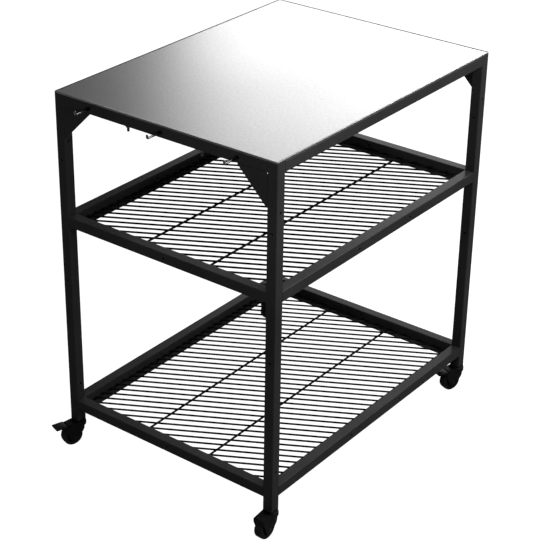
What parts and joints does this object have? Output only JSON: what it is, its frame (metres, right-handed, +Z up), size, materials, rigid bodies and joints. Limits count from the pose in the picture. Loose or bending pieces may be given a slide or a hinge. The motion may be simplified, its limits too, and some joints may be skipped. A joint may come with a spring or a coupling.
{
  "type": "outdoor oven table",
  "caption": "Wheeled outdoor table: stainless worktop on a black square tube frame with slanted rod shelves, side hooks and four swivel casters, two with a brake pedal.",
  "frame": {"origin": "on the floor, straight below the middle of the worktop", "axes": "+Z up, +X along the long side away from the hooks, +Y from the front long side to the back one"},
  "size_m": [0.8586, 0.6271, 0.897],
  "materials": {
    "stainless": "fine brushed",
    "bright_steel": "bright drawn",
    "zinc_steel": "dark zinc plate",
    "coated_frame": "fine textured powder coat",
    "coated_rod": "satin powder coat",
    "moulding": "fine matt",
    "tyre": "matt"
  },
  "bodies": {
    "frame": {"bracket_back_left": "coated_frame", "bracket_back_right": "coated_frame", "bracket_front_left": "coated_frame", "bracket_front_right": "coated_frame", "caster_plug_back_left": "moulding", "caster_plug_back_right": "moulding", "caster_plug_front_left": "moulding", "caster_plug_front_right": "moulding", "caster_stem_back_left": "zinc_steel", "caster_stem_back_right": "zinc_steel", "caster_stem_front_left": "zinc_steel", "caster_stem_front_right": "zinc_steel", "hook_1": "bright_steel", "hook_2": "bright_steel", "hook_3": "bright_steel", "leg_back_left": "coated_frame", "leg_back_right": "coated_frame", "leg_front_left": "coated_frame", "leg_front_right": "coated_frame", "low_shelf_grid": "coated_rod", "low_shelf_rail_back": "coated_frame", "low_shelf_rail_front": "coated_frame", "low_shelf_rail_left": "coated_frame", "low_shelf_rail_right": "coated_frame", "mid_shelf_grid": "coated_rod", "mid_shelf_rail_back": "coated_frame", "mid_shelf_rail_front": "coated_frame", "mid_shelf_rail_left": "coated_frame", "mid_shelf_rail_right": "coated_frame", "top_rail_back": "coated_frame", "top_rail_front": "coated_frame", "top_rail_left": "coated_frame", "top_rail_right": "coated_frame", "worktop": "stainless", "worktop_stiffener_back": "stainless", "worktop_stiffener_front": "stainless", "worktop_stud_back_left": "bright_steel", "worktop_stud_back_right": "bright_steel", "worktop_stud_front_left": "bright_steel", "worktop_stud_front_right": "bright_steel"},
    "caster_front_left": {"caster_axle_front_left": "zinc_steel", "caster_fork_front_left": "moulding"},
    "wheel_front_left": {"caster_hub_front_left": "moulding", "caster_tyre_front_left": "tyre"},
    "caster_back_left": {"caster_axle_back_left": "zinc_steel", "caster_fork_back_left": "moulding"},
    "wheel_back_left": {"caster_hub_back_left": "moulding", "caster_tyre_back_left": "tyre"},
    "brake_back_left": {"caster_pedal_back_left": "moulding"},
    "caster_front_right": {"caster_axle_front_right": "zinc_steel", "caster_fork_front_right": "moulding"},
    "wheel_front_right": {"caster_hub_front_right": "moulding", "caster_tyre_front_right": "tyre"},
    "brake_front_right": {"caster_pedal_front_right": "moulding"},
    "caster_back_right": {"caster_axle_back_right": "zinc_steel", "caster_fork_back_right": "moulding"},
    "wheel_back_right": {"caster_hub_back_right": "moulding", "caster_tyre_back_right": "tyre"}
  },
  "joints": [
    {"name": "swivel_front_left", "type": "hinge", "parent": "frame", "child": "caster_front_left", "pos_m": [-0.3875, -0.2875, 0.056], "axis": [0, 0, 1], "continuous": true},
    {"name": "roll_front_left", "type": "hinge", "parent": "caster_front_left", "child": "wheel_front_left", "pos_m": [-0.40749, -0.2868, 0.025], "axis": [-0.0349, -0.9994, 0], "continuous": true},
    {"name": "swivel_back_left", "type": "hinge", "parent": "frame", "child": "caster_back_left", "pos_m": [-0.3875, 0.2875, 0.056], "axis": [0, 0, 1], "continuous": true},
    {"name": "roll_back_left", "type": "hinge", "parent": "caster_back_left", "child": "wheel_back_left", "pos_m": [-0.40641, 0.29401, 0.025], "axis": [-0.3256, -0.9455, 0], "continuous": true},
    {"name": "pedal_back_left", "type": "hinge", "parent": "caster_back_left", "child": "brake_back_left", "pos_m": [-0.42248, 0.29955, 0.0505], "axis": [-0.3256, -0.9455, 0], "range_deg": [0, 12]},
    {"name": "swivel_front_right", "type": "hinge", "parent": "frame", "child": "caster_front_right", "pos_m": [0.3875, -0.2875, 0.056], "axis": [0, 0, 1], "continuous": true},
    {"name": "roll_front_right", "type": "hinge", "parent": "caster_front_right", "child": "wheel_front_right", "pos_m": [0.36871, -0.28066, 0.025], "axis": [-0.342, -0.9397, 0], "continuous": true},
    {"name": "pedal_front_right", "type": "hinge", "parent": "caster_front_right", "child": "brake_front_right", "pos_m": [0.35273, -0.27485, 0.0505], "axis": [-0.342, -0.9397, 0], "range_deg": [0, 12]},
    {"name": "swivel_back_right", "type": "hinge", "parent": "frame", "child": "caster_back_right", "pos_m": [0.3875, 0.2875, 0.056], "axis": [0, 0, 1], "continuous": true},
    {"name": "roll_back_right", "type": "hinge", "parent": "caster_back_right", "child": "wheel_back_right", "pos_m": [0.36794, 0.29166, 0.025], "axis": [-0.2079, -0.9781, 0], "continuous": true}
  ]
}
